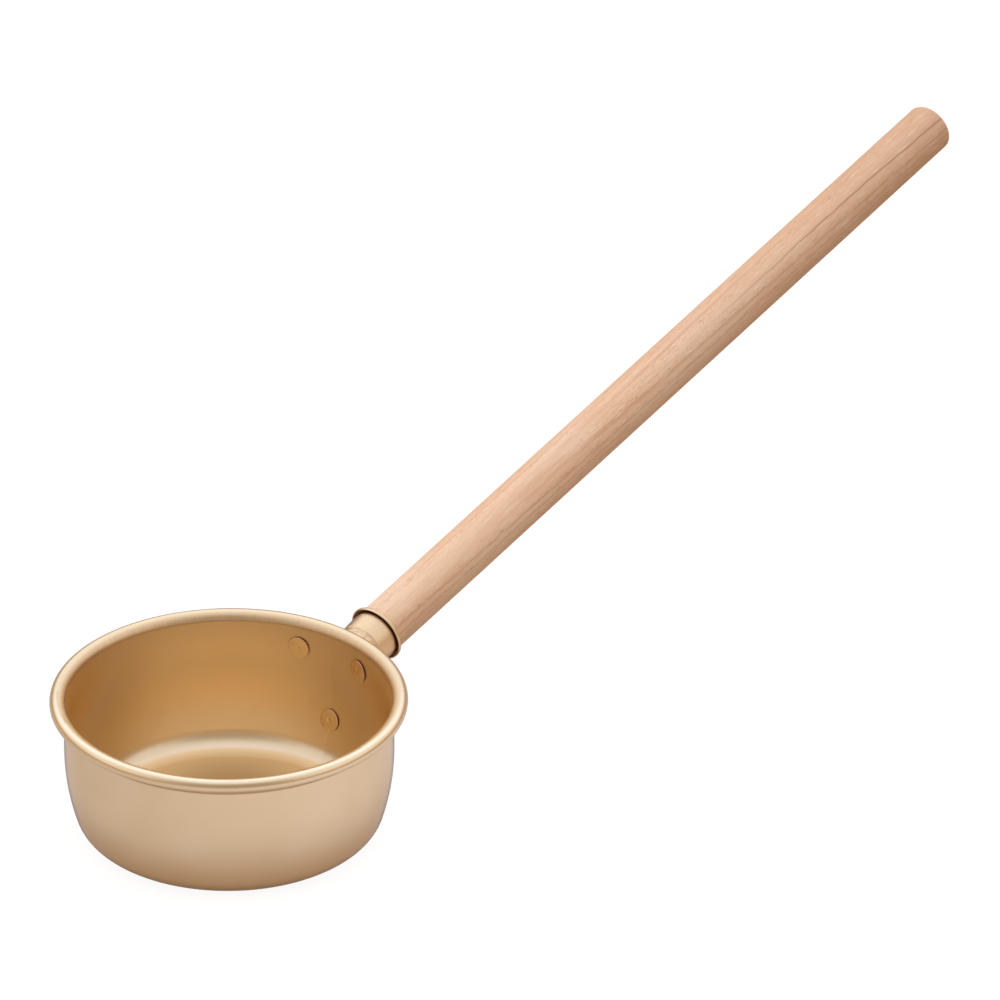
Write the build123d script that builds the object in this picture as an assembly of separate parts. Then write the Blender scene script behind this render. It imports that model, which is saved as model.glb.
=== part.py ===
from build123d import *
from math import asin, atan2, cos, degrees, hypot, radians, sin, sqrt, tan
import os

# Long-handled water dipper: a pressed aluminium bowl with a rolled rim, a drawn handle socket
# riveted to the bowl's wall, and a straight wooden handle held in the socket by a screw.
# Millimetres and degrees. The origin is the centre of the bowl's flat base, +Z is up, and the
# handle rises from the wall towards +X in the XZ plane.

# Bowl
bowl_sheet = 1.2
bowl_inner_radius = 75.0
bowl_height = 68.2
base_corner_radius = 12.2
wall_arc_radius = 107.7
wall_arc_turn = 17.0
rim_flare_radius = 4.35
rim_bead_radius = 3.2
rim_curl_turn = 232.0

# Wooden handle: how steeply it rises, and its length beyond the socket's lip
handle_radius = 12.0
handle_length = 438.4
handle_rise_angle = 12.3
handle_end_rounding = 2.6
taper_end_from_wall = 5.0
taper_end_clearance = 1.7
taper_end_chamfer = 0.8

# Handle socket, with lengths along the handle line
saddle_sheet = 1.6
saddle_margin = 2.8
tube_sheet = 0.9
neck_inset = 0.8
neck_length = 20.7
neck_root_rounding = 4.0
neck_throat_rounding = 1.8
neck_rim_clearance = 0.87
step_length = 0.8
sleeve_step = 0.6
sleeve_length = 11.1
mouth_bead_radius = 1.4
mouth_bead_offset = 0.75
mouth_curl_turn = 216.0

# Rivets, placed by their clearance from the neck's rounded root
rivet_shank_radius = 2.5
upper_rivet_clearance = 0.32
upper_rivet_bearing = 25.4
lower_rivet_clearance = 4.56
inner_head_radius = 5.5
inner_head_thickness = 0.85
inner_head_rounding = 0.2
inner_head_undercut = 0.45
punch_mark_radius = 1.6
punch_mark_depth = 0.12
outer_head_radius = 4.6
outer_head_height = 2.1
outer_head_edge = 0.5

# Screw under the sleeve
screw_shank_radius = 1.5
screw_length = 11.5
screw_point_length = 3.0
screw_head_radius = 3.0
screw_head_height = 1.9
screw_slot_width = 0.8
screw_slot_depth = 0.9

# Fits and overruns
saddle_gap = 0.05
rivet_gap = 0.04
wood_gap = 0.1
screw_gap = 0.06
cut_overrun = 5.0

# Section of the bowl
wall_turn = radians(wall_arc_turn)
wall_outer_radius = bowl_inner_radius + bowl_sheet
wall_arc_top = base_corner_radius * (1 - sin(wall_turn)) + wall_arc_radius * sin(wall_turn)
wall_arc_inset = wall_arc_radius * (1 - cos(wall_turn))
flat_base_radius = wall_outer_radius - wall_arc_inset - base_corner_radius * cos(wall_turn)
flare_start = bowl_height - rim_flare_radius
bead_ring_radius = bowl_inner_radius + rim_flare_radius
bead_height = bowl_height - rim_bead_radius
rim_underside = bead_height - rim_bead_radius

# Radii of the socket and of the wood in it
neck_outer_radius = handle_radius - neck_inset
neck_inner_radius = neck_outer_radius - tube_sheet
root_radius = neck_outer_radius + neck_root_rounding
mouth_bead_ring_radius = handle_radius + mouth_bead_offset
taper_end_radius = neck_inner_radius - taper_end_clearance

# Handle line, set by the neck's clearance from the rolled rim, and a plane with X out from the
# line and Y along it
handle_rise = radians(handle_rise_angle)
neck_top_height = rim_underside - neck_rim_clearance - neck_root_rounding
line_height_at_wall = neck_top_height - neck_outer_radius / cos(handle_rise)
handle_start = Vector(0, 0, line_height_at_wall - wall_outer_radius * tan(handle_rise))
handle_direction = Vector(cos(handle_rise), 0, sin(handle_rise))
handle_upward = Vector(-sin(handle_rise), 0, cos(handle_rise))
handle_axis = Axis(handle_start, handle_direction)
handle_section = Plane(origin=handle_start, x_dir=handle_upward, z_dir=(0, 1, 0))

# Distances along the handle line from the bowl's axis
wall_distance = wall_outer_radius / cos(handle_rise)
taper_end_distance = wall_distance + taper_end_from_wall
neck_end_distance = wall_distance + neck_length
sleeve_start_distance = neck_end_distance + step_length
screw_distance = sleeve_start_distance + (sleeve_length - mouth_bead_radius) / 2
mouth_bead_distance = sleeve_start_distance + sleeve_length
mouth_bead_centre = (mouth_bead_ring_radius, mouth_bead_distance)
handle_end_distance = mouth_bead_distance + handle_length

# Places of the rivets on the wall
rivet_bearing = radians(upper_rivet_bearing)
upper_rivet_reach = root_radius + outer_head_radius + upper_rivet_clearance
upper_rivet_spread = upper_rivet_reach * cos(rivet_bearing)
upper_rivet_height = line_height_at_wall + upper_rivet_reach * sin(rivet_bearing)
lower_rivet_reach = root_radius + outer_head_radius + lower_rivet_clearance
lower_rivet_height = line_height_at_wall - lower_rivet_reach


def wall_face(depth):
    """One face of the bowl's wall at a depth in from its outer face, from centre to flare."""
    corner_centre = (flat_base_radius, base_corner_radius)
    arc_centre = (wall_outer_radius - wall_arc_radius, wall_arc_top)
    wall_radius = wall_outer_radius - depth
    Line((0, depth), (flat_base_radius, depth))
    CenterArc(corner_centre, base_corner_radius - depth, -90, 90 - wall_arc_turn)
    CenterArc(arc_centre, wall_arc_radius - depth, -wall_arc_turn, wall_arc_turn)
    Line((wall_radius, wall_arc_top), (wall_radius, flare_start))


def rim_face(depth):
    """The same face over the flare and round the outward curl. Returns the curl's end."""
    flare_centre = (bead_ring_radius, flare_start)
    bead_centre = (bead_ring_radius, bead_height)
    CenterArc(flare_centre, rim_flare_radius - bowl_sheet + depth, 180, -90)
    curl = CenterArc(bead_centre, rim_bead_radius - bowl_sheet + depth, 90, -rim_curl_turn)
    return curl @ 1


def turned_about_bowl(profile):
    """Solid of revolution about the bowl's axis of the lines that the profile draws."""
    with BuildPart() as solid:
        with BuildSketch(Plane.XZ):
            with BuildLine():
                profile()
            make_face()
        revolve(axis=Axis.Z)
    return solid.part


def turned_about_handle(profile):
    """Solid of revolution about the handle line of the lines that the profile draws."""
    with BuildPart() as solid:
        with BuildSketch(handle_section):
            with BuildLine():
                profile()
            make_face()
        revolve(axis=handle_axis)
    return solid.part


def wall_layer(near_depth, far_depth):
    """The layer that follows the wall between two depths from its outer face."""

    def profile():
        wall_face(near_depth)
        wall_face(far_depth)
        Line((0, near_depth), (0, far_depth))
        Line(
            (wall_outer_radius - near_depth, flare_start),
            (wall_outer_radius - far_depth, flare_start),
        )

    return turned_about_bowl(profile)


def wall_core(depth):
    """All that lies inside the wall's face at a depth from its outer face."""

    def profile():
        wall_face(depth)
        Line((wall_outer_radius - depth, flare_start), (0, flare_start))
        Line((0, flare_start), (0, depth))

    return turned_about_bowl(profile)


def rivet_seat(spread, height):
    """Plane on the wall's outer face at a rivet, with Z straight out of the wall."""
    below_straight = max(0, wall_arc_top - height)
    lean = asin(below_straight / wall_arc_radius)
    radius = wall_outer_radius - wall_arc_radius * (1 - cos(lean))
    across = asin(spread / wall_outer_radius)
    outward = Vector(cos(lean) * cos(across), cos(lean) * sin(across), -sin(lean))
    sideways = Vector(-sin(across), cos(across), 0)
    place = Vector(radius * cos(across), radius * sin(across), height)
    return Plane(origin=place, x_dir=sideways, z_dir=outward)


rivet_seats = {
    "rivet_left": rivet_seat(upper_rivet_spread, upper_rivet_height),
    "rivet_right": rivet_seat(-upper_rivet_spread, upper_rivet_height),
    "rivet_lower": rivet_seat(0, lower_rivet_height),
}
screw_seat = Plane(
    origin=handle_start + handle_direction * screw_distance,
    x_dir=handle_direction,
    z_dir=-handle_upward,
)


def rivet_holes():
    """Cylinders that cut the rivet holes through the wall and the saddle."""
    depth = bowl_sheet + saddle_sheet + cut_overrun
    hole = Cylinder(rivet_shank_radius + rivet_gap, 2 * depth)
    return [seat * hole for seat in rivet_seats.values()]


def touching_line(start, centre, radius):
    """Lean from the handle line, and end, of the line from start that touches a circle."""
    across = centre[0] - start[0]
    along = centre[1] - start[1]
    reach = hypot(across, along)
    lean = atan2(across, along) - asin(radius / reach)
    length = sqrt(reach * reach - radius * radius)
    return lean, (start[0] + length * sin(lean), start[1] + length * cos(lean))


# Section of the sleeve, from the step to where the lip's roll begins
sleeve_inner_start = (neck_inner_radius + sleeve_step, sleeve_start_distance)
sleeve_lean, sleeve_inner_end = touching_line(
    sleeve_inner_start, mouth_bead_centre, mouth_bead_radius
)
sleeve_out = (tube_sheet * cos(sleeve_lean), -tube_sheet * sin(sleeve_lean))
sleeve_outer_start = (
    sleeve_inner_start[0] + sleeve_out[0],
    sleeve_inner_start[1] + sleeve_out[1],
)
sleeve_outer_end = (
    sleeve_inner_end[0] + sleeve_out[0],
    sleeve_inner_end[1] + sleeve_out[1],
)


def make_bowl():
    """Sheet bowl with a flat base, an upright wall and a rim rolled outwards."""

    def profile():
        wall_face(0)
        wall_face(bowl_sheet)
        curl_inside = rim_face(0)
        curl_outside = rim_face(bowl_sheet)
        Line(curl_inside, curl_outside)
        Line((0, 0), (0, bowl_sheet))

    return turned_about_bowl(profile) - rivet_holes()


def saddle_plate():
    """Rounded triangular plate through the three rivets, bent to follow the wall."""
    corners = [
        (upper_rivet_spread, upper_rivet_height),
        (-upper_rivet_spread, upper_rivet_height),
        (0, lower_rivet_height),
    ]
    with BuildPart() as prism:
        with BuildSketch(Plane.YZ):
            Polygon(*corners, align=None)
            offset(amount=outer_head_radius + saddle_margin, kind=Kind.ARC)
            with Locations((0, rim_underside - saddle_gap)):
                Rectangle(
                    2 * wall_outer_radius,
                    bowl_height,
                    align=(Align.CENTER, Align.MIN),
                    mode=Mode.SUBTRACT,
                )
        extrude(amount=wall_outer_radius + saddle_sheet + cut_overrun)
    return prism.part & wall_layer(-saddle_gap, -saddle_gap - saddle_sheet)


def tube_outside():
    """Solid of the neck, step and sleeve up to the root of the rolled mouth."""
    tube_start = wall_outer_radius - cut_overrun

    def profile():
        Polyline(
            (0, tube_start),
            (neck_outer_radius, tube_start),
            (neck_outer_radius, neck_end_distance),
            sleeve_outer_start,
            sleeve_outer_end,
            sleeve_inner_end,
            (0, sleeve_inner_end[1]),
            close=True,
        )

    return turned_about_handle(profile)


def tube_inside():
    """Solid of the hollow that the wood goes into, open at the mouth and into the saddle."""
    tube_start = wall_outer_radius - 2 * cut_overrun

    def profile():
        Polyline(
            (0, tube_start),
            (neck_inner_radius, tube_start),
            (neck_inner_radius, neck_end_distance),
            sleeve_inner_start,
            sleeve_inner_end,
            (0, sleeve_inner_end[1]),
            close=True,
        )

    return turned_about_handle(profile)


def mouth_curl():
    """Lip of the socket: the tube's edge rolled outwards and back, open towards the bowl."""
    curl_start = 180 - degrees(sleeve_lean)

    def profile():
        outside = CenterArc(
            mouth_bead_centre, mouth_bead_radius, curl_start, -mouth_curl_turn
        )
        inside = CenterArc(
            mouth_bead_centre, mouth_bead_radius - tube_sheet, curl_start, -mouth_curl_turn
        )
        Line(outside @ 0, inside @ 0)
        Line(outside @ 1, inside @ 1)

    return turned_about_handle(profile)


def neck_edges(part, radius, nearest, farthest):
    """Edges of a part that lie on a tube round the handle line, between two bowl radii."""
    found = []
    for edge in part.edges():
        middle = edge @ 0.5
        from_line = (middle - handle_start).cross(handle_direction).length
        from_bowl_axis = hypot(middle.X, middle.Y)
        if abs(from_line - radius) < saddle_gap and nearest < from_bowl_axis < farthest:
            found.append(edge)
    return found


def make_handle_socket():
    """Saddle, neck, stepped sleeve and rolled mouth, drawn from one sheet."""
    saddle_inner = wall_outer_radius + saddle_gap
    saddle_middle = saddle_inner + saddle_sheet / 2
    saddle_limit = saddle_inner + saddle_sheet + cut_overrun
    body = saddle_plate() + (tube_outside() - wall_core(-saddle_gap))
    roots = neck_edges(body, neck_outer_radius, saddle_middle, saddle_limit)
    body = fillet(roots, neck_root_rounding)
    body -= tube_inside()
    throats = neck_edges(body, neck_inner_radius, 0, saddle_middle)
    body = fillet(throats, neck_throat_rounding)
    body += mouth_curl()
    screw_hole = screw_seat * Pos(0, 0, neck_outer_radius) * Cylinder(
        screw_shank_radius + screw_gap, 2 * cut_overrun
    )
    return body - rivet_holes() - screw_hole


def cap_sphere_radius(radius, height):
    """Radius of the sphere that has a cap of this radius and height."""
    return (radius**2 + height**2) / (2 * height)


def make_rivet(seat):
    """Shank through wall and saddle, flat punch-marked head inside, upset head outside."""
    saddle_face = saddle_gap + saddle_sheet
    shank = Cylinder(
        rivet_shank_radius,
        outer_head_edge + saddle_face + bowl_sheet + inner_head_thickness / 2,
        align=(Align.CENTER, Align.CENTER, Align.MAX),
    )
    shank = seat * Pos(0, 0, saddle_face + outer_head_edge) * shank
    disc = Cone(
        inner_head_radius,
        inner_head_radius - inner_head_undercut,
        inner_head_thickness,
        align=(Align.CENTER, Align.CENTER, Align.MIN),
    )
    disc = fillet(disc.edges().group_by(Axis.Z)[0], inner_head_rounding)
    disc += Pos(0, 0, inner_head_thickness) * Cylinder(
        inner_head_radius - inner_head_undercut,
        bowl_sheet,
        align=(Align.CENTER, Align.CENTER, Align.MIN),
    )
    punch_radius = cap_sphere_radius(punch_mark_radius, punch_mark_depth)
    disc -= Pos(0, 0, punch_mark_depth - punch_radius) * Sphere(punch_radius)
    disc = seat * Pos(0, 0, -bowl_sheet - inner_head_thickness) * disc
    dome_radius = cap_sphere_radius(outer_head_radius, outer_head_height)
    dome = Sphere(dome_radius)
    dome = Pos(0, 0, outer_head_edge + outer_head_height - dome_radius) * dome
    blank = Cylinder(
        outer_head_radius,
        saddle_sheet + outer_head_edge + outer_head_height,
        align=(Align.CENTER, Align.CENTER, Align.MIN),
    )
    blank = Pos(0, 0, -saddle_sheet) * blank
    outer_head = seat * Pos(0, 0, saddle_face) * (dome & blank)
    skin = cut_overrun + outer_head_height
    disc -= wall_layer(-skin, bowl_sheet + rivet_gap)
    outer_head -= wall_core(-saddle_face - rivet_gap)
    return shank + disc + outer_head


def make_handle():
    """Dowel with a taper turned to fit the socket and a rounded far end."""
    seat_radius = mouth_bead_radius + wood_gap
    taper_start = (taper_end_radius, taper_end_distance)
    lean, taper_top = touching_line(taper_start, mouth_bead_centre, seat_radius)
    shoulder_start = 180 - degrees(lean)
    shoulder_across = (handle_radius - mouth_bead_ring_radius) / seat_radius
    shoulder_end = degrees(atan2(sqrt(1 - shoulder_across**2), shoulder_across))
    rounding_centre = (
        handle_radius - handle_end_rounding,
        handle_end_distance - handle_end_rounding,
    )

    def profile():
        shoulder = CenterArc(
            mouth_bead_centre, seat_radius, shoulder_start, shoulder_end - shoulder_start
        )
        rounding = CenterArc(rounding_centre, handle_end_rounding, 0, 90)
        Polyline(
            (0, taper_end_distance - taper_end_chamfer),
            (taper_end_radius - taper_end_chamfer, taper_end_distance - taper_end_chamfer),
            taper_start,
            taper_top,
        )
        Line(shoulder @ 1, rounding @ 0)
        Polyline(
            rounding @ 1,
            (0, handle_end_distance),
            (0, taper_end_distance - taper_end_chamfer),
        )

    pilot = screw_seat * Pos(0, 0, screw_head_seat()) * Cylinder(
        screw_shank_radius + screw_gap,
        screw_length + screw_gap + cut_overrun,
        align=(Align.CENTER, Align.CENTER, Align.MAX),
    )
    return turned_about_handle(profile) - pilot


def screw_head_seat():
    """Distance from the handle line to the sleeve's outer face, at the screw head's far edge."""
    along = screw_distance + screw_head_radius - sleeve_outer_start[1]
    return sleeve_outer_start[0] + along * tan(sleeve_lean) + screw_gap


def make_handle_screw():
    """Slotted round-head screw through the underside of the sleeve into the wood."""
    dome_radius = cap_sphere_radius(screw_head_radius, screw_head_height)
    tip = screw_length - screw_point_length

    def profile():
        head = RadiusArc((0, screw_head_height), (screw_head_radius, 0), dome_radius)
        Polyline(
            head @ 1,
            (screw_shank_radius, 0),
            (screw_shank_radius, -tip),
            (0, -screw_length),
            head @ 0,
        )

    with BuildPart() as screw:
        with BuildSketch(Plane.XZ):
            with BuildLine():
                profile()
            make_face()
        revolve(axis=Axis.Z)
    slot = Box(
        2 * screw_head_radius + cut_overrun,
        screw_slot_width,
        screw_slot_depth,
        align=(Align.CENTER, Align.CENTER, Align.MAX),
    )
    slotted = screw.part - Pos(0, 0, screw_head_height) * slot
    return screw_seat * Pos(0, 0, screw_head_seat()) * slotted


def all_pieces():
    pieces = {
        "bowl": make_bowl(),
        "handle_socket": make_handle_socket(),
        "handle": make_handle(),
        "handle_screw": make_handle_screw(),
    }
    for name, seat in rivet_seats.items():
        pieces[name] = make_rivet(seat)
    return pieces


os.makedirs("parts", exist_ok=True)
for name, piece in all_pieces().items():
    export_step(piece, f"parts/{name}.step")
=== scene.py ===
import math

import bpy
from mathutils import Matrix, Vector

# A long-handled water dipper in satin gold anodised aluminium with a plain wooden handle.
# Metres, in the CAD model's frame: origin at the centre of the bowl's base, +Z up, and the
# handle towards +X.
#
# In the groups below, a pair called edges, or called by a start, end, top or bottom, is where a
# change begins and where it is complete. A noise is its scale, detail and roughness. Streaks put
# a factor before these, and the smaller it is, the longer they are. A bump is its strength and
# its height in metres, and each pattern's own height is its part in that. A share is how much
# of a colour covers what is under it.

# Where the values of a noise mostly lie
NOISE_SPREAD = (0.3, 0.7)

# The handle's line: where it meets the bowl's axis, and how steeply it rises
HANDLE_START = Vector((0.0, 0.0, 0.02885))
HANDLE_RISE = math.radians(12.3)
HANDLE_DIRECTION = Vector((math.cos(HANDLE_RISE), 0.0, math.sin(HANDLE_RISE)))

# Camera, as fitted to the photograph
CAMERA_ELEVATION = math.radians(28.89)
CAMERA_TURN = math.radians(51.474)
CAMERA_DISTANCE = 6.0794
CAMERA_LENS = 475.6
CAMERA_SENSOR = 36.0
CAMERA_CLIP = (0.1, 60.0)
RIM_CENTRE = Vector((0.0, 0.0, 0.0682))
RIM_LEFT_OF_VIEW = 0.124849
RIM_BELOW_VIEW = 0.089074

# Directions over the floor from the object: to the camera, and to the right of the picture
TO_CAMERA = Vector((-math.sin(CAMERA_TURN), -math.cos(CAMERA_TURN), 0.0))
TO_RIGHT = Vector((math.cos(CAMERA_TURN), -math.sin(CAMERA_TURN), 0.0))

# Studio light, as brightness of the walls and ceiling by their angle up from the camera's side,
# over the top and down to the far side, in degrees, with white as 1
STUDIO = (
    (0, 0.55),
    (10, 0.46),
    (22, 0.46),
    (34, 0.50),
    (44, 0.58),
    (52, 0.61),
    (58, 0.76),
    (64, 0.92),
    (80, 1.03),
    (100, 1.06),
    (112, 1.28),
    (150, 1.28),
    (156, 1.02),
    (163, 0.62),
    (172, 0.50),
    (180, 0.46),
)
HALF_TURN = 180.0
STUDIO_PEAK = 2.0
STUDIO_ON_MATT = 0.96
# The studio's two sides have one level high up and another near the floor
SIDE_EDGES = (0.35, 0.92)
SIDE_LEVEL = 1.06
LOW_SIDE_LEVEL = 0.70
LOW_SIDE_EDGES = (0.10, 0.40)
# The ceiling is cool. The dimmer parts near the floor are warm: the studio's front, and low
# at the back and sides.
WHITE = (1.0, 1.0, 1.0, 1.0)
STUDIO_COOL = (0.99, 1.01, 1.10, 1.0)
STUDIO_FRONT = (1.0, 0.90, 0.78, 1.0)
STUDIO_BACK = (0.96, 0.66, 0.42, 1.0)
FRONT_DEGREES = (46, 60)
BACK_DEGREES = (155, 168)

# The paper floor's size, and how far it lies under the base
FLOOR_SIZE = 24.0
FLOOR_DROP = 0.0002
# Its tone to matt surfaces, and to metal in and out of a pool of light painted on it
FLOOR_COLOUR = (0.38, 0.29, 0.20, 1.0)
FLOOR_PAINTED_POOL = (0.81, 0.78, 0.79, 1.0)
FLOOR_PAINTED_DIM = (0.57, 0.53, 0.48, 1.0)
POOL_CENTRE = TO_RIGHT * 0.16 + TO_CAMERA * 0.10
POOL_EDGES = (0.05, 0.50)
# What the camera sees of it glows white, and the rest keeps the object's shadow
FLOOR_GLOW = 1.12
FLOOR_GLOW_SHARE = 0.82
# Right under the bowl it glows to reflections alone, so that the base isn't black from below
UNDER_BOWL_EDGES = (0.0600, 0.0720)
UNDER_BOWL_COLOUR = (0.40, 0.33, 0.27, 1.0)

# One wide soft lamp overhead, which reflections don't show
LAMP_PLACE = Vector((-0.05, 0.15, 1.5))
LAMP_TARGET = Vector((0.15, 0.0, 0.05))
LAMP_SIDE = 1.4
LAMP_POWER = 5.5


def linear(red, green, blue):
    """The linear colour that a shader takes, from a colour as it shows on a screen, 0 to 255."""
    channels = []
    for value in (red, green, blue):
        part = value / 255.0
        if part <= 0.04045:
            channels.append(part / 12.92)
        else:
            channels.append(((part + 0.055) / 1.055) ** 2.4)
    return (*channels, 1.0)


class Nodes:
    """Builds a node tree in few words: each call makes a node and links or sets its inputs."""

    def __init__(self, tree):
        self.tree = tree
        tree.nodes.clear()

    def add(self, kind, settings=None, **inputs):
        """A new node. An input is named as on the node, with _ for a space, or i and its number."""
        made = self.tree.nodes.new(kind)
        for name, value in (settings or {}).items():
            setattr(made, name, value)
        for name, value in inputs.items():
            numbered = name[0] == "i" and name[1:].isdigit()
            socket = made.inputs[int(name[1:]) if numbered else name.replace("_", " ")]
            if isinstance(value, bpy.types.NodeSocket):
                self.tree.links.new(value, socket)
            else:
                socket.default_value = value
        return made

    def math(self, operation, first, second=0.0):
        made = self.add("ShaderNodeMath", {"operation": operation}, i0=first, i1=second)
        return made.outputs[0]

    def times(self, first, *others):
        for other in others:
            first = self.math("MULTIPLY", first, other)
        return first

    def plus(self, first, *others):
        for other in others:
            first = self.math("ADD", first, other)
        return first

    def minus(self, first, second):
        return self.math("SUBTRACT", first, second)

    def ramp(self, value, low, high, to_low=0.0, to_high=1.0):
        """A smooth change from one level to another as the value goes from low to high."""
        made = self.add(
            "ShaderNodeMapRange",
            {"interpolation_type": "SMOOTHSTEP", "clamp": True},
            Value=value,
            From_Min=low,
            From_Max=high,
            To_Min=to_low,
            To_Max=to_high,
        )
        return made.outputs["Result"]

    def fade(self, value, low, high, share=1.0):
        """The share given, falling to 0 as the value goes from low to high."""
        return self.ramp(value, low, high, share, 0.0)

    def vector_math(self, operation, first, second=(0.0, 0.0, 0.0)):
        made = self.add("ShaderNodeVectorMath", {"operation": operation}, i0=first, i1=second)
        return made.outputs

    def dot(self, first, second):
        return self.vector_math("DOT_PRODUCT", first, second)["Value"]

    def distance(self, first, second=(0.0, 0.0, 0.0)):
        return self.vector_math("DISTANCE", first, second)["Value"]

    def from_axis(self, first, second):
        """The distance from an axis, by the places in the two directions across it."""
        across = self.join(first, second)
        return self.math("SQRT", self.dot(across, across))

    def split(self, vector):
        return self.add("ShaderNodeSeparateXYZ", Vector=vector).outputs

    def join(self, x=0.0, y=0.0, z=0.0):
        return self.add("ShaderNodeCombineXYZ", X=x, Y=y, Z=z).outputs[0]

    def choose(self, factor, first, second):
        made = self.add("ShaderNodeMix", {"data_type": "FLOAT"}, i0=factor, i2=first, i3=second)
        return made.outputs[0]

    def mix(self, factor, first, second):
        made = self.add("ShaderNodeMix", {"data_type": "RGBA"}, i0=factor, i6=first, i7=second)
        return made.outputs[2]

    def layers(self, colour, *laid):
        """Lays each colour over the last, by its share of the surface."""
        for share, over in laid:
            colour = self.mix(share, colour, over)
        return colour

    def noise(self, vector, scale, detail=2.0, roughness=0.5):
        made = self.add(
            "ShaderNodeTexNoise", Vector=vector, Scale=scale, Detail=detail, Roughness=roughness
        )
        return made.outputs["Fac"]

    def place(self):
        return self.add("ShaderNodeTexCoord").outputs["Object"]

    def along_handle(self):
        """Places from the handle line's start, with X along the line and Y and Z across it."""
        moved = self.vector_math("SUBTRACT", self.place(), HANDLE_START)["Vector"]
        settings = {"rotation_type": "Y_AXIS"}
        made = self.add("ShaderNodeVectorRotate", settings, Vector=moved, Angle=HANDLE_RISE)
        return made.outputs[0]

    def facing(self):
        """The way that the surface faces."""
        return self.add("ShaderNodeNewGeometry").outputs["Normal"]

    def turned_away(self, start, end, share=1.0):
        """How far the surface has turned away from the viewer, as 0 to the share given."""
        turn = self.add("ShaderNodeLayerWeight", Blend=0.5).outputs["Facing"]
        return self.ramp(turn, start, end, 0.0, share)

    def round_upright(self):
        """The direction round the upright axis, along which turned metal has its lines."""
        settings = {"direction_type": "RADIAL", "axis": "Z"}
        return self.add("ShaderNodeTangent", settings).outputs[0]

    def bump(self, height, strength, distance):
        made = self.add("ShaderNodeBump", Height=height, Strength=strength, Distance=distance)
        return made.outputs[0]

    def seen(self, path):
        """1 for rays straight from the camera, or through something clear, by their light path."""
        return self.math("MAXIMUM", path["Is Camera Ray"], path["Is Transmission Ray"])

    def blend(self, factor, first, second):
        made = self.add("ShaderNodeMixShader", i0=factor, i1=first, i2=second)
        return made.outputs[0]

    def surface(self, shader):
        self.add("ShaderNodeOutputMaterial", Surface=shader)


def new_material(name):
    made = bpy.data.materials.new(name)
    made.use_nodes = True
    return made, Nodes(made.node_tree)


# The anodised gold: its two tints and a dull one, which on the flare also paints shade. The
# others are painted shade: a deeper one low down, and dark ones in recesses and at the outline
GOLD_LIGHT = linear(234, 208, 171)
GOLD_DEEP = linear(229, 202, 162)
GOLD_PAINTED_SHADE = linear(222, 184, 134)
GOLD_DULL_AND_SHADE = linear(205, 160, 112)
GOLD_ROLL_SHADE = linear(130, 76, 30)
GOLD_UNDER_ROLL_SHADE = linear(144, 98, 46)
GOLD_RIVET_EDGE_SHADE = linear(112, 60, 18)
GOLD_OUTLINE_SHADE = linear(100, 68, 40)
GOLD_COAT = 0.12
GOLD_COAT_ROUGHNESS = 0.12
GRAIN_NOISE = (3000.0, 1.0)


def gold_shader(nodes, colour, roughness, normal, anisotropy, tangent):
    made = nodes.add(
        "ShaderNodeBsdfPrincipled",
        Base_Color=colour,
        Metallic=1.0,
        Roughness=roughness,
        Normal=normal,
        Anisotropic=anisotropy,
        Tangent=tangent,
        Coat_Weight=GOLD_COAT,
        Coat_Roughness=GOLD_COAT_ROUGHNESS,
    )
    return made.outputs[0]


# The outside of the bowl is where its sheet faces away from the axis
OUTSIDE_EDGES = (0.0, 0.3)
# The tint changes in soft clouds, and painted shade deepens it low on the outside wall
CLOUD_NOISE = (28.0, 3.0)
LOW_WALL_SHADE_EDGES = (0.0, 0.030)
# The tint of the metal's reflection inside the bowl, seen head on
GOLD_INSIDE = (0.795, 0.622, 0.40, 1.0)
INSIDE_SHARE = 0.8
# A brighter painted reflection where the view grazes the inside
GOLD_GRAZED_REFLECTION = (0.97, 0.715, 0.38, 1.0)
GRAZED_EDGES = (0.42, 0.80)
# Painted shade on the inside of the rim's flare, stronger and weaker in short upright streaks
FLARE_START = (0.0751, 0.0755)
FLARE_END = (0.0757, 0.0782)
FLARE_SHADE_SHARE = 0.55
FLARE_STREAKS = (0.6, 90.0, 3.0, 0.65)
FLARE_STREAK_EDGES = (0.40, 0.62)
FLARE_STREAK_LEAST = 0.65
# Painted highlight: the inside corner between floor and wall is painted paler
GOLD_CORNER_HIGHLIGHT = linear(243, 228, 206)
CORNER_START = (0.0570, 0.0600)
CORNER_END = (0.0630, 0.0675)
CORNER_TOP = (0.0090, 0.0120)
CORNER_HIGHLIGHT_SHARE = 0.88
# Painted highlight: the rim's crest, where it faces up, is painted pale
GOLD_CREST_HIGHLIGHT = linear(246, 234, 208)
CREST_UPWARD_EDGES = (0.72, 0.95)
CREST_BOTTOM = (0.0610, 0.0640)
CREST_START = (0.0784, 0.0800)
CREST_HIGHLIGHT_SHARE = 0.6
# Painted shade on the outside wall close under the rim's roll
UNDER_ROLL_BOTTOM = (0.0583, 0.0590)
UNDER_ROLL_END = (0.0764, 0.0768)
UNDER_ROLL_SHADE_SHARE = 0.65
# Painted shade: the outside's reflection is painted deeper where the form turns away, and dark at
# its outline
TURNING_EDGES = (0.50, 0.85)
TURNING_SHADE_SHARE = 0.5
OUTLINE_EDGES = (0.80, 0.96)
OUTLINE_SHADE_SHARE = 0.95
# Turned lines, drawing marks and grain, which make the satin
TURNED_NOISE = (2600.0, 2.0)
TURNED_HEIGHT = 0.20
DRAWN_STREAKS = (0.9, 75.0, 4.0, 0.65)
DRAWN_HEIGHT = 0.5
BOWL_GRAIN_NOISE = (3200.0, 1.0)
BOWL_GRAIN_HEIGHT = 0.1
BOWL_BUMP = (0.10, 0.0002)
BOWL_ROUGHNESS = (0.21, 0.26)
BOWL_ANISOTROPY = 0.45
# The inside is rougher, most of all where the sheet bends into the flare
ROUGHER_INSIDE = 0.07
BEND_START = (0.0742, 0.0750)
BEND_END = (0.0768, 0.0784)
BEND_BOTTOM = (0.0500, 0.0632)
BEND_ROUGHNESS = 0.11


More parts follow.
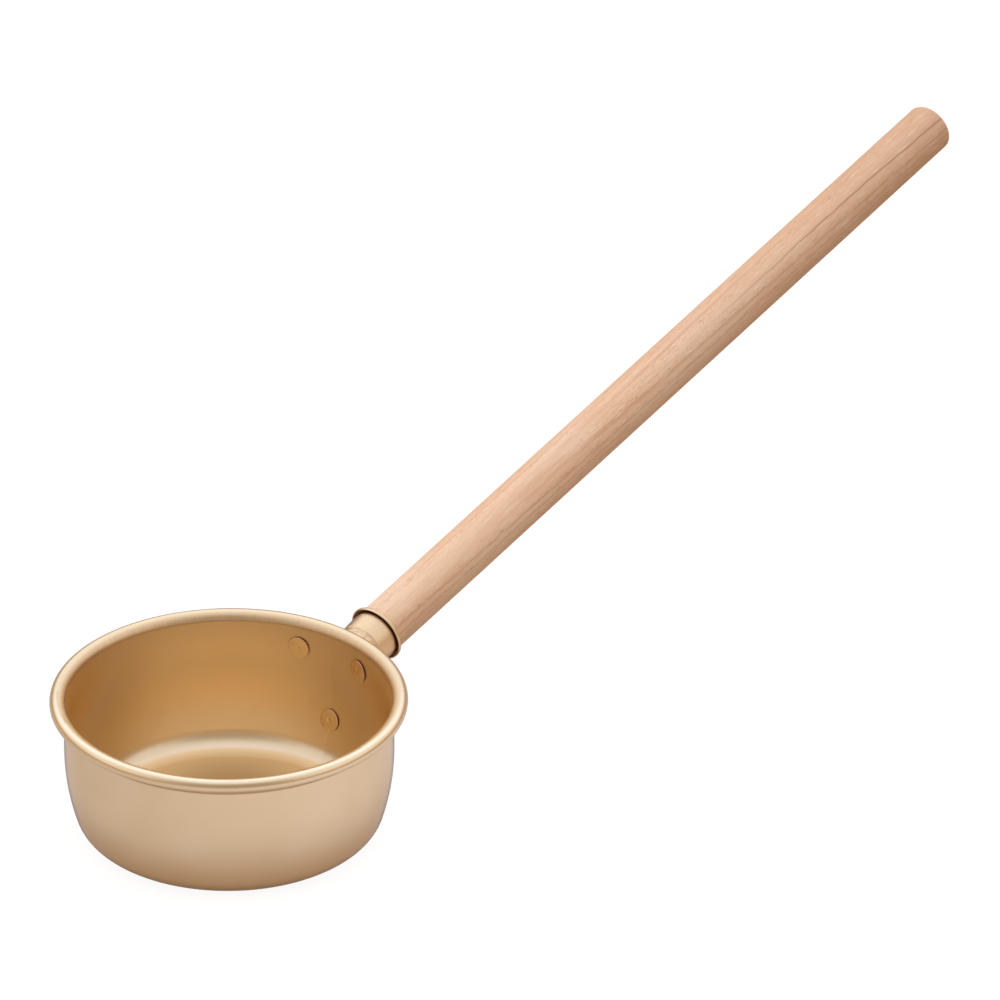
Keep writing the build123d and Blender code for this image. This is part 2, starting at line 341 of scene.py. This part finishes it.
class BowlSheet:
    """Where a point of the bowl lies: its height, its distance from the axis, and its side."""

    def __init__(self, nodes):
        self.nodes = nodes
        self.place = nodes.place()
        x, y, self.height = nodes.split(self.place)
        self.radius = nodes.from_axis(x, y)
        self.outward = nodes.vector_math("NORMALIZE", nodes.join(x, y))["Vector"]
        self.facing = nodes.facing()
        self.outside = nodes.ramp(nodes.dot(self.facing, self.outward), *OUTSIDE_EDGES)
        self.inside = nodes.minus(1.0, self.outside)

    def upright(self, stretch, *noise):
        """Noise round the wall, drawn out along its height."""
        ahead, aside, _ = self.nodes.split(self.outward)
        slow = self.nodes.times(self.height, stretch)
        return self.nodes.noise(self.nodes.join(ahead, aside, slow), *noise)

    def ring(self, start, end, share):
        """A ring of the inside surface, faded at both of its edges."""
        rise = self.nodes.times(self.nodes.ramp(self.radius, *start), self.inside)
        return self.nodes.times(rise, self.nodes.fade(self.radius, *end, share))


def bowl_colour(nodes, sheet):
    """Gold, deeper inside; painted shade low down and in recesses; painted highlights in the corner
    and on the rim.
    """
    cloud = nodes.noise(sheet.place, *CLOUD_NOISE)
    # Painted shade low on the outside wall
    low_wall_shade = nodes.times(sheet.outside, nodes.fade(sheet.height, *LOW_WALL_SHADE_EDGES))
    # Painted shade on the flare of the rim
    flare_shade = nodes.times(
        sheet.ring(FLARE_START, FLARE_END, FLARE_SHADE_SHARE),
        nodes.ramp(sheet.upright(*FLARE_STREAKS), *FLARE_STREAK_EDGES, FLARE_STREAK_LEAST, 1.0),
    )
    # Painted highlight in the inside corner
    corner_highlight = nodes.times(
        sheet.ring(CORNER_START, CORNER_END, CORNER_HIGHLIGHT_SHARE),
        nodes.fade(sheet.height, *CORNER_TOP),
    )
    upward = nodes.split(sheet.facing)[2]
    # Painted highlight on the rim's crest
    crest_highlight = nodes.times(
        nodes.ramp(upward, *CREST_UPWARD_EDGES, 0.0, CREST_HIGHLIGHT_SHARE),
        nodes.ramp(sheet.height, *CREST_BOTTOM),
        nodes.ramp(sheet.radius, *CREST_START),
    )
    # Painted shade under the rim's roll
    under_roll_shade = nodes.times(
        nodes.ramp(sheet.height, *UNDER_ROLL_BOTTOM),
        nodes.fade(sheet.radius, *UNDER_ROLL_END, UNDER_ROLL_SHADE_SHARE),
        sheet.outside,
    )
    # A brighter painted reflection where the view grazes the inside
    grazed_reflection = nodes.times(nodes.turned_away(*GRAZED_EDGES), sheet.inside)
    # Painted shade where the outside turns away, and at its outline
    turning_shade = nodes.times(nodes.turned_away(*TURNING_EDGES, TURNING_SHADE_SHARE), sheet.outside)
    outline_shade = nodes.times(nodes.turned_away(*OUTLINE_EDGES, OUTLINE_SHADE_SHARE), sheet.outside)
    return nodes.layers(
        nodes.mix(nodes.ramp(cloud, *NOISE_SPREAD), GOLD_LIGHT, GOLD_DEEP),
        (low_wall_shade, GOLD_PAINTED_SHADE),
        (nodes.times(sheet.inside, INSIDE_SHARE), GOLD_INSIDE),
        (grazed_reflection, GOLD_GRAZED_REFLECTION),
        (flare_shade, GOLD_DULL_AND_SHADE),
        (corner_highlight, GOLD_CORNER_HIGHLIGHT),
        (crest_highlight, GOLD_CREST_HIGHLIGHT),
        (under_roll_shade, GOLD_UNDER_ROLL_SHADE),
        (turning_shade, GOLD_PAINTED_SHADE),
        (outline_shade, GOLD_OUTLINE_SHADE),
    )


def bowl_metal():
    """Satin anodised sheet with fine turned lines and faint upright drawing marks."""
    material, nodes = new_material("bowl_metal_finish")
    sheet = BowlSheet(nodes)
    turned = nodes.noise(nodes.join(sheet.radius, sheet.height), *TURNED_NOISE)
    drawn = sheet.upright(*DRAWN_STREAKS)
    grain = nodes.noise(sheet.place, *BOWL_GRAIN_NOISE)
    height = nodes.plus(
        nodes.times(turned, TURNED_HEIGHT),
        nodes.times(drawn, DRAWN_HEIGHT),
        nodes.times(grain, BOWL_GRAIN_HEIGHT),
    )
    in_bend = sheet.ring(BEND_START, BEND_END, BEND_ROUGHNESS)
    roughness = nodes.plus(
        nodes.ramp(drawn, *NOISE_SPREAD, *BOWL_ROUGHNESS),
        nodes.times(sheet.inside, ROUGHER_INSIDE),
        nodes.times(in_bend, nodes.ramp(sheet.height, *BEND_BOTTOM)),
    )
    colour = bowl_colour(nodes, sheet)
    normal = nodes.bump(height, *BOWL_BUMP)
    tangent = nodes.round_upright()
    nodes.surface(gold_shader(nodes, colour, roughness, normal, BOWL_ANISOTROPY, tangent))
    return material


# The neck is pebbled up to its step, just past which the smooth sleeve begins
STEP_EDGES = (0.0986, 0.0994)
PEBBLE_NOISE = (620.0, 2.0, 0.55)
PEBBLE_DULL_EDGES = (0.46, 0.60)
PEBBLE_DULL_SHARE = 0.6
# Painted shade: deeper on the side towards the floor, and dark at the outline
SOCKET_LOW_SHADE_EDGES = (-0.002, 0.016)
SOCKET_LOW_SHADE_SHARE = 0.95
SOCKET_OUTLINE_EDGES = (0.55, 0.88)
SOCKET_OUTLINE_SHADE_SHARE = 0.85
# The ring that the socket's lip is rolled round: its place along the handle, and its radius
LIP_RING = (0.1106, 0.01275, 0.0)
# Painted shade in the hollow of the roll, by distance from that ring
LIP_HOLLOW_SHADE_EDGES = (0.0006, 0.0013)
LIP_HOLLOW_SHADE_SHARE = 0.9
SOCKET_GRAIN_HEIGHT = 0.03
SOCKET_BUMP = (0.9, 0.0008)
SOCKET_ROUGHNESS = 0.36
SOCKET_ANISOTROPY = 0.3


def socket_metal():
    """The same finish on the socket: smooth on the sleeve, pebbled on the neck and saddle."""
    material, nodes = new_material("socket_metal_finish")
    place = nodes.along_handle()
    along, across, upward = nodes.split(place)
    on_neck = nodes.fade(along, *STEP_EDGES)
    pebbles = nodes.noise(place, *PEBBLE_NOISE)
    dull = nodes.ramp(pebbles, *PEBBLE_DULL_EDGES, 0.0, PEBBLE_DULL_SHARE)
    from_ring = nodes.distance(nodes.join(along, nodes.from_axis(across, upward)), LIP_RING)
    colour = nodes.layers(
        nodes.mix(nodes.ramp(pebbles, *NOISE_SPREAD), GOLD_LIGHT, GOLD_DEEP),
        (nodes.times(dull, on_neck), GOLD_DULL_AND_SHADE),
        # Painted shade on the side towards the floor, and at the outline
        (nodes.fade(upward, *SOCKET_LOW_SHADE_EDGES, SOCKET_LOW_SHADE_SHARE), GOLD_PAINTED_SHADE),
        (nodes.turned_away(*SOCKET_OUTLINE_EDGES, SOCKET_OUTLINE_SHADE_SHARE), GOLD_OUTLINE_SHADE),
        # Painted shade in the hollow of the lip's roll
        (nodes.fade(from_ring, *LIP_HOLLOW_SHADE_EDGES, LIP_HOLLOW_SHADE_SHARE), GOLD_ROLL_SHADE),
    )
    grain = nodes.noise(place, *GRAIN_NOISE)
    height = nodes.plus(nodes.times(pebbles, on_neck), nodes.times(grain, SOCKET_GRAIN_HEIGHT))
    normal = nodes.bump(height, *SOCKET_BUMP)
    tangent = nodes.vector_math("CROSS_PRODUCT", nodes.facing(), HANDLE_DIRECTION)["Vector"]
    shader = gold_shader(nodes, colour, SOCKET_ROUGHNESS, normal, SOCKET_ANISOTROPY, tangent)
    nodes.surface(shader)
    return material


# A rivet's struck face is slightly dented
DENT_NOISE = (380.0, 2.0)
DENT_HEIGHT = 0.8
RIVET_GRAIN_HEIGHT = 0.08
RIVET_BUMP = (0.25, 0.0004)
# A rivet's two faces look along this line, and its edge looks across it and is darkened by painted
# shade
RIVET_LINE = (0.94, 0.0, -0.34)
RIVET_FACE_EDGES = (0.55, 0.80)
RIVET_ROUGHNESS = 0.22
RIVET_ANISOTROPY = 0.2


def rivet_metal():
    """Anodised rivets, struck with a slightly uneven face."""
    material, nodes = new_material("rivet_metal_finish")
    place = nodes.place()
    dents = nodes.noise(place, *DENT_NOISE)
    grain = nodes.noise(place, *GRAIN_NOISE)
    height = nodes.plus(nodes.times(dents, DENT_HEIGHT), nodes.times(grain, RIVET_GRAIN_HEIGHT))
    normal = nodes.bump(height, *RIVET_BUMP)
    along_line = nodes.math("ABSOLUTE", nodes.dot(nodes.facing(), RIVET_LINE))
    colour = nodes.layers(
        nodes.mix(nodes.ramp(dents, *NOISE_SPREAD), GOLD_LIGHT, GOLD_DEEP),
        # Painted shade on the rivet's edge
        (nodes.fade(along_line, *RIVET_FACE_EDGES), GOLD_RIVET_EDGE_SHADE),
    )
    tangent = nodes.round_upright()
    nodes.surface(gold_shader(nodes, colour, RIVET_ROUGHNESS, normal, RIVET_ANISOTROPY, tangent))
    return material


# The screw's steel, clean and stained
STEEL_CLEAN = linear(196, 194, 190)
STEEL_STAINED = linear(150, 142, 130)
STAIN_NOISE = (500.0, 3.0)
STAIN_EDGES = (0.35, 0.75)
STEEL_ROUGHNESS = (0.25, 0.42)
STEEL_GRAIN_NOISE = (4000.0, 1.0)
STEEL_BUMP = (0.1, 0.0002)


def screw_metal():
    """Plain steel with a fine grain and a slight brown stain."""
    material, nodes = new_material("screw_metal_finish")
    place = nodes.place()
    stain = nodes.noise(place, *STAIN_NOISE)
    grain = nodes.noise(place, *STEEL_GRAIN_NOISE)
    shader = nodes.add(
        "ShaderNodeBsdfPrincipled",
        Base_Color=nodes.mix(nodes.ramp(stain, *STAIN_EDGES), STEEL_CLEAN, STEEL_STAINED),
        Metallic=1.0,
        Roughness=nodes.ramp(stain, *NOISE_SPREAD, *STEEL_ROUGHNESS),
        Normal=nodes.bump(grain, *STEEL_BUMP),
    )
    nodes.surface(shader.outputs[0])
    return material


# The wood's ground is paler and warmer by turns
WOOD_PALE = linear(243, 209, 180)
WOOD_WARM = linear(234, 192, 156)
TONE_STREAKS = (0.15, 70.0, 3.0, 0.6)
# It is deeper towards the far end, and painted shade darkens its underside
WOOD_TOWARDS_FAR_END = linear(206, 160, 122)
FAR_END_EDGES = (0.16, 0.60)
FAR_END_SHARE = 0.68
WOOD_UNDERSIDE_SHADE = linear(132, 92, 64)
UNDERSIDE_EDGES = (-0.0108, -0.0074)
UNDERSIDE_SHADE_SHARE = 0.75
# Growth rings: the middle of the tree, how close they are, how much they wave, and how fast the
# dowel crosses them. The last part of each ring is late wood.
RINGS_CENTRE = (0.052, -0.100)
RINGS_PER_METRE = 430.0
RING_STREAKS = (0.05, 45.0)
RING_WAVE = 1.2
RINGS_CROSSED_PER_METRE = 3.0
WOOD_LATE = linear(196, 150, 113)
LATE_START = (0.55, 0.96)
LATE_END = (0.965, 1.0)
LATE_STREAKS = (0.02, 110.0)
LATE_STREAK_EDGES = (0.42, 0.66)
LATE_SHARES = (0.12, 0.62)
# Fine fibres, painted pale glints of sheen and short pores, which are mostly in the early wood
FIBRE_STREAKS = (0.035, 1700.0, 3.0, 0.6)
FIBRE_EDGES = (0.40, 0.75)
FIBRE_SHARE = 0.26
FIBRE_HEIGHT = 0.4
WOOD_PAINTED_GLINT = linear(250, 226, 200)
GLINT_STREAKS = (0.04, 2300.0, 1.0)
GLINT_EDGES = (0.56, 0.74)
GLINT_SHARE = 0.45
WOOD_PORE = linear(158, 112, 80)
PORE_STREAKS = (0.075, 4300.0, 1.0)
PORE_EDGES = (0.58, 0.70)
PORE_SHARE = 0.62
EARLY_END = (0.05, 0.50)
LATE_PORES = 0.25
# One darker growth line near the far end: the way across it, and the way out of the wood
LINE_ACROSS = (0.0, -0.866, -0.5)
LINE_OUTWARD = (0.0, -0.5, 0.866)
LINE_SIDE_EDGES = (0.0, 0.004)
LINE_START = (0.34, 0.46)
LINE_BEND_EDGES = (0.47, 0.56)
LINE_BEND = 0.002
LINE_STREAKS = (0.6, 80.0)
LINE_WANDER = 0.0022
LINE_WIDTH_EDGES = (0.0001, 0.0006)
LINE_SHARE = 0.62
# The sanded surface
WOOD_ROUGHNESS = (0.55, 0.68)
WOOD_BUMP = (0.35, 0.0002)
WOOD_SPECULAR = 0.18


class Grain:
    """Where a point of the dowel lies: along its line, and in the two directions across it."""

    def __init__(self, nodes):
        self.nodes = nodes
        self.along, self.across, self.upward = nodes.split(nodes.along_handle())

    def streaks(self, stretch, *noise):
        """Noise across the dowel, drawn out along it."""
        slow = self.nodes.times(self.along, stretch)
        return self.nodes.noise(self.nodes.join(slow, self.across, self.upward), *noise)

    def ring_part(self):
        """How far a point lies from the start of its growth ring to the end, as 0 to 1."""
        nodes = self.nodes
        sideways = nodes.minus(self.across, RINGS_CENTRE[0])
        above = nodes.minus(self.upward, RINGS_CENTRE[1])
        rings = nodes.plus(
            nodes.times(nodes.from_axis(sideways, above), RINGS_PER_METRE),
            nodes.times(self.streaks(*RING_STREAKS), RING_WAVE),
            nodes.times(self.along, RINGS_CROSSED_PER_METRE),
        )
        return nodes.math("FRACT", rings)

    def dark_line(self):
        """The share of the one darker growth line."""
        nodes = self.nodes
        section = nodes.join(0.0, self.across, self.upward)
        bend = nodes.ramp(self.along, *LINE_BEND_EDGES, 0.0, LINE_BEND)
        wander = nodes.plus(bend, nodes.times(self.streaks(*LINE_STREAKS), LINE_WANDER))
        off_line = nodes.math("ABSOLUTE", nodes.minus(nodes.dot(section, LINE_ACROSS), wander))
        return nodes.times(
            nodes.fade(off_line, *LINE_WIDTH_EDGES, LINE_SHARE),
            nodes.ramp(self.along, *LINE_START),
            nodes.ramp(nodes.dot(section, LINE_OUTWARD), *LINE_SIDE_EDGES),
        )


def handle_wood():
    """Sanded wood with slow growth bands, fine fibres and short dark pores along the grain."""
    material, nodes = new_material("handle_wood_finish")
    grain = Grain(nodes)
    part = grain.ring_part()
    late = nodes.times(nodes.ramp(part, *LATE_START), nodes.fade(part, *LATE_END))
    strong = nodes.ramp(grain.streaks(*LATE_STREAKS), *LATE_STREAK_EDGES, *LATE_SHARES)
    fibre = grain.streaks(*FIBRE_STREAKS)
    early = nodes.ramp(part, *EARLY_END, 1.0, LATE_PORES)
    pores = nodes.times(nodes.ramp(grain.streaks(*PORE_STREAKS), *PORE_EDGES), early)
    tone = nodes.ramp(grain.streaks(*TONE_STREAKS), *NOISE_SPREAD)
    # Painted glints: pale streaks of sheen along the grain
    painted_glints = nodes.ramp(grain.streaks(*GLINT_STREAKS), *GLINT_EDGES, 0.0, GLINT_SHARE)
    colour = nodes.layers(
        nodes.mix(tone, WOOD_PALE, WOOD_WARM),
        # Deeper towards the far end
        (nodes.ramp(grain.along, *FAR_END_EDGES, 0.0, FAR_END_SHARE), WOOD_TOWARDS_FAR_END),
        (nodes.times(late, strong), WOOD_LATE),
        (nodes.ramp(fibre, *FIBRE_EDGES, 0.0, FIBRE_SHARE), WOOD_LATE),
        (painted_glints, WOOD_PAINTED_GLINT),
        (nodes.times(pores, PORE_SHARE), WOOD_PORE),
        (grain.dark_line(), WOOD_PORE),
        # Painted shade on the underside
        (nodes.fade(grain.upward, *UNDERSIDE_EDGES, UNDERSIDE_SHADE_SHARE), WOOD_UNDERSIDE_SHADE),
    )
    height = nodes.minus(nodes.times(fibre, FIBRE_HEIGHT), pores)
    shader = nodes.add(
        "ShaderNodeBsdfPrincipled",
        Base_Color=colour,
        Roughness=nodes.ramp(fibre, *NOISE_SPREAD, *WOOD_ROUGHNESS),
        Normal=nodes.bump(height, *WOOD_BUMP),
        Specular_IOR_Level=WOOD_SPECULAR,
    )
    nodes.surface(shader.outputs[0])
    return material


def studio_band(nodes, angle):
    """The studio's brightness by the angle over it, given as a part of a half turn."""
    band = nodes.add("ShaderNodeValToRGB", Fac=angle)
    stops = band.color_ramp.elements
    while len(stops) < len(STUDIO):
        stops.new(0.5)
    for stop, (degrees, level) in zip(stops, STUDIO):
        stop.position = degrees / HALF_TURN
        share = level / STUDIO_PEAK
        stop.color = (share, share, share, 1.0)
    return nodes.times(band.outputs["Color"], STUDIO_PEAK)


def make_world():
    """Plain white to the camera, and a soft studio to everything else."""
    world = bpy.data.worlds.new("studio")
    world.use_nodes = True
    bpy.context.scene.world = world
    nodes = Nodes(world.node_tree)
    direction = nodes.add("ShaderNodeTexCoord").outputs["Generated"]
    upward = nodes.split(direction)[2]
    angle = nodes.math("ARCTAN2", upward, nodes.dot(direction, TO_CAMERA))
    angle = nodes.math("DIVIDE", angle, math.pi)
    sideways = nodes.math("ABSOLUTE", nodes.dot(direction, TO_RIGHT))
    beside = nodes.ramp(sideways, *SIDE_EDGES)
    high = nodes.ramp(upward, *LOW_SIDE_EDGES)
    path = nodes.add("ShaderNodeLightPath").outputs
    seen = nodes.seen(path)

    side_level = nodes.choose(high, LOW_SIDE_LEVEL, SIDE_LEVEL)
    level = nodes.choose(beside, studio_band(nodes, angle), side_level)
    matt = nodes.times(level, STUDIO_ON_MATT)
    level = nodes.choose(path["Is Glossy Ray"], matt, level)
    level = nodes.choose(seen, level, 1.0)

    past_front, in_back = (
        nodes.ramp(angle, start / HALF_TURN, end / HALF_TURN)
        for start, end in (FRONT_DEGREES, BACK_DEGREES)
    )
    colour = nodes.layers(
        nodes.mix(past_front, STUDIO_FRONT, STUDIO_COOL),
        (in_back, STUDIO_BACK),
        (beside, nodes.mix(high, STUDIO_BACK, STUDIO_COOL)),
        (seen, WHITE),
    )
    shade = nodes.add("ShaderNodeBackground", Color=colour, Strength=level)
    nodes.add("ShaderNodeOutputWorld", Surface=shade.outputs[0])


def floor_paper():
    """Pale paper that is white to the camera and clear from below."""
    material, nodes = new_material("floor_paper")
    path = nodes.add("ShaderNodeLightPath").outputs
    seen = nodes.seen(path)
    glossy = path["Is Glossy Ray"]
    place = nodes.place()
    # A pool of light painted on the paper
    from_painted_pool = nodes.ramp(nodes.distance(place, POOL_CENTRE), *POOL_EDGES)
    painted_pool = nodes.mix(from_painted_pool, FLOOR_PAINTED_POOL, FLOOR_PAINTED_DIM)
    tone = nodes.mix(nodes.math("MAXIMUM", glossy, seen), FLOOR_COLOUR, painted_pool)
    paper = nodes.add("ShaderNodeBsdfDiffuse", Color=tone).outputs[0]
    glow = nodes.add("ShaderNodeEmission", Color=WHITE, Strength=FLOOR_GLOW).outputs[0]
    lit = nodes.blend(nodes.times(seen, FLOOR_GLOW_SHARE), paper, glow)
    under_bowl = nodes.times(nodes.fade(nodes.distance(place), *UNDER_BOWL_EDGES), glossy)
    faint = nodes.add("ShaderNodeEmission", Color=UNDER_BOWL_COLOUR).outputs[0]
    lit = nodes.blend(under_bowl, lit, faint)
    clear = nodes.add("ShaderNodeBsdfTransparent").outputs[0]
    below = nodes.add("ShaderNodeNewGeometry").outputs["Backfacing"]
    nodes.surface(nodes.blend(below, lit, clear))
    return material


def make_floor():
    """A wide sheet of paper just under the base."""
    half = FLOOR_SIZE / 2.0
    corners = [(-half, -half, 0.0), (half, -half, 0.0), (half, half, 0.0), (-half, half, 0.0)]
    mesh = bpy.data.meshes.new("floor")
    mesh.from_pydata(corners, [], [(0, 1, 2, 3)])
    mesh.materials.append(floor_paper())
    floor = bpy.data.objects.new("floor", mesh)
    floor.location.z = -FLOOR_DROP
    bpy.context.scene.collection.objects.link(floor)


def make_lamp():
    data = bpy.data.lights.new("overhead", "AREA")
    data.shape = "RECTANGLE"
    data.size = LAMP_SIDE
    data.size_y = LAMP_SIDE
    data.energy = LAMP_POWER
    lamp = bpy.data.objects.new("overhead", data)
    bpy.context.scene.collection.objects.link(lamp)
    lamp.location = LAMP_PLACE
    lamp.visible_glossy = False
    lamp.rotation_mode = "QUATERNION"
    lamp.rotation_quaternion = (LAMP_TARGET - LAMP_PLACE).to_track_quat("-Z", "Y")


def make_camera():
    """The camera of the photograph, level, looking down at the rim from the left of the handle."""
    forward = -TO_CAMERA * math.cos(CAMERA_ELEVATION)
    forward = forward + Vector((0.0, 0.0, -math.sin(CAMERA_ELEVATION)))
    upward = TO_RIGHT.cross(forward)
    data = bpy.data.cameras.new("camera")
    data.lens = CAMERA_LENS
    data.sensor_width = CAMERA_SENSOR
    data.clip_start, data.clip_end = CAMERA_CLIP
    camera = bpy.data.objects.new("camera", data)
    bpy.context.scene.collection.objects.link(camera)
    turn = Matrix((TO_RIGHT, upward, -forward)).transposed().to_4x4()
    place = (
        RIM_CENTRE
        + TO_RIGHT * RIM_LEFT_OF_VIEW
        + upward * RIM_BELOW_VIEW
        - forward * CAMERA_DISTANCE
    )
    camera.matrix_world = Matrix.Translation(place) @ turn
    bpy.context.scene.camera = camera


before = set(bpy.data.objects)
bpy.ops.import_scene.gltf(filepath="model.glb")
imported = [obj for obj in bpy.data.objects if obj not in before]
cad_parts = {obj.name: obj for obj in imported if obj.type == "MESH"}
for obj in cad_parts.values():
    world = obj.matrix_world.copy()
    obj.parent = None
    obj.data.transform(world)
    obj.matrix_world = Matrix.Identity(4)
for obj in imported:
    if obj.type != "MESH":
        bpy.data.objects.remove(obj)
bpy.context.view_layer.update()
make_camera()

rivets = rivet_metal()
finishes = {
    "bowl": bowl_metal(),
    "handle_socket": socket_metal(),
    "rivet_left": rivets,
    "rivet_right": rivets,
    "rivet_lower": rivets,
    "handle": handle_wood(),
    "handle_screw": screw_metal(),
}
for node, finish in finishes.items():
    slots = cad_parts[node].data.materials
    slots.clear()
    slots.append(finish)

make_world()
make_floor()
make_lamp()

bpy.context.scene.view_settings.view_transform = "Standard"
